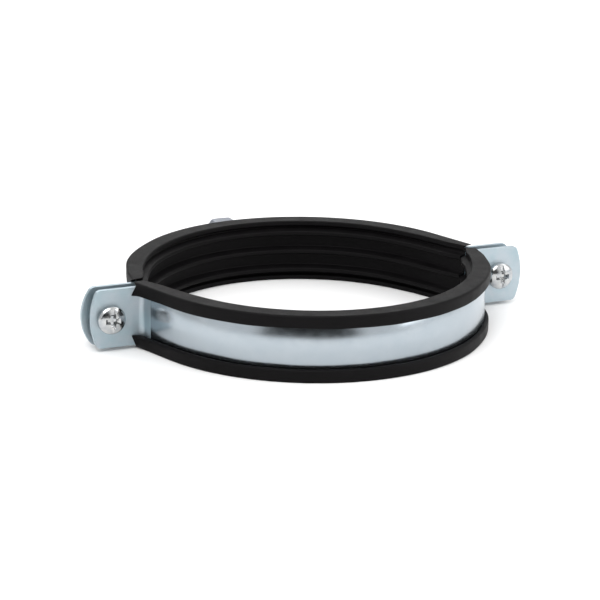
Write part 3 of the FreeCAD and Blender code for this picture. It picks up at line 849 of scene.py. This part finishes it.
# ------------------------------------------------------------------ floor, light and camera
FLOOR = -LINING_HALF * MM
CAMERA_DISTANCE = 0.7164
CAMERA_LENS = 124.4
CAMERA_SHIFT = (-0.0143, -0.0108)                  # keeps the clamp where the frame has it
CAMERA_TURN = math.radians(-24.62)                 # round the pipe axis, from straight in front
CAMERA_RISE = math.radians(17.03)
CAMERA_ROLL = math.radians(1.18)
OPENING_TURN = math.radians(-24)                   # the dark opening, from straight in front
OPENING_EDGE = (0.80, 0.90)                        # where it starts to darken and where it is dark


def make_floor():
    """Wide white floor that curves up behind into a backdrop."""
    bm = bmesh.new()
    reach, rise, bend = 6.0, 4.0, 1.5
    profile = [(-reach, 0.0)]
    for k in range(13):
        angle = math.pi / 2 * k / 12
        profile.append((reach - bend + bend * math.sin(angle), bend - bend * math.cos(angle)))
    profile.append((reach, rise))
    rows = [[bm.verts.new((side * reach * 1.5, y, FLOOR + z)) for side in (-1, 1)] for y, z in profile]
    for near, far in zip(rows, rows[1:]):
        bm.faces.new((near[0], near[1], far[1], far[0]))
    floor = new_object("floor", bm)
    paper = Shader("paper", (0.9, 0.9, 0.9), roughness=0.9)
    paper.colour(paper.ramp(paper.noise(3), [(0.3, 0.90), (0.7, 0.93)]))
    floor.data.materials.append(paper.material)
    floor.rotation_euler = (0, 0, -CAMERA_TURN)


def make_light(name, power, size, place, aim=(0, 0, 0), colour=(1, 1, 1)):
    """Soft rectangular light aimed at a point."""
    data = bpy.data.lights.new(name, "AREA")
    data.shape = "RECTANGLE"
    data.size, data.size_y = size
    data.energy = power
    data.color = colour
    light = bpy.data.objects.new(name, data)
    light.location = place
    light.rotation_mode = "QUATERNION"
    light.rotation_quaternion = (Vector(aim) - Vector(place)).to_track_quat("-Z", "Y")
    bpy.context.scene.collection.objects.link(light)
    return light


def make_world(bright, dark):
    """Bright studio with a dark opening in front of the object, where nothing is lit."""
    world = bpy.data.worlds.new("studio")
    world.use_nodes = True
    tree = world.node_tree
    background = tree.nodes["Background"]
    background.inputs["Color"].default_value = (1, 1, 1, 1)
    place = tree.nodes.new("ShaderNodeTexCoord")
    facing = tree.nodes.new("ShaderNodeVectorMath")
    facing.operation = "DOT_PRODUCT"
    facing.inputs[1].default_value = (math.sin(OPENING_TURN), -math.cos(OPENING_TURN), 0)
    spread = tree.nodes.new("ShaderNodeMapRange")
    for socket, value in (("From Min", OPENING_EDGE[0]), ("From Max", OPENING_EDGE[1]),
                          ("To Min", bright), ("To Max", dark)):
        spread.inputs[socket].default_value = value
    tree.links.new(place.outputs["Generated"], facing.inputs[0])
    tree.links.new(facing.outputs["Value"], spread.inputs["Value"])
    tree.links.new(spread.outputs["Result"], background.inputs["Strength"])
    bpy.context.scene.world = world


def make_camera():
    """Camera aimed at the pipe axis."""
    data = bpy.data.cameras.new("camera")
    data.sensor_width = 36
    data.lens = CAMERA_LENS
    data.shift_x, data.shift_y = CAMERA_SHIFT
    data.clip_start, data.clip_end = 0.05, 50
    camera = bpy.data.objects.new("camera", data)
    back = Vector((math.sin(CAMERA_TURN) * math.cos(CAMERA_RISE),
                   -math.cos(CAMERA_TURN) * math.cos(CAMERA_RISE), math.sin(CAMERA_RISE)))
    camera.location = back * CAMERA_DISTANCE
    camera.rotation_mode = "QUATERNION"
    roll = Matrix.Rotation(CAMERA_ROLL, 4, "Z").to_quaternion()
    camera.rotation_quaternion = (-back).to_track_quat("-Z", "Y") @ roll
    bpy.context.scene.collection.objects.link(camera)
    bpy.context.scene.camera = camera


make_floor()
make_world(1.0, 0.02)
make_light("key", 9, (0.8, 0.8), (-0.5, -0.5, 1.1))
make_light("fill", 5, (0.8, 1.0), (0.9, -0.7, 0.6))
make_light("rim", 4, (1.0, 0.5), (0.2, 1.1, 0.9))
make_camera()
bpy.context.scene.view_settings.view_transform = "Standard"
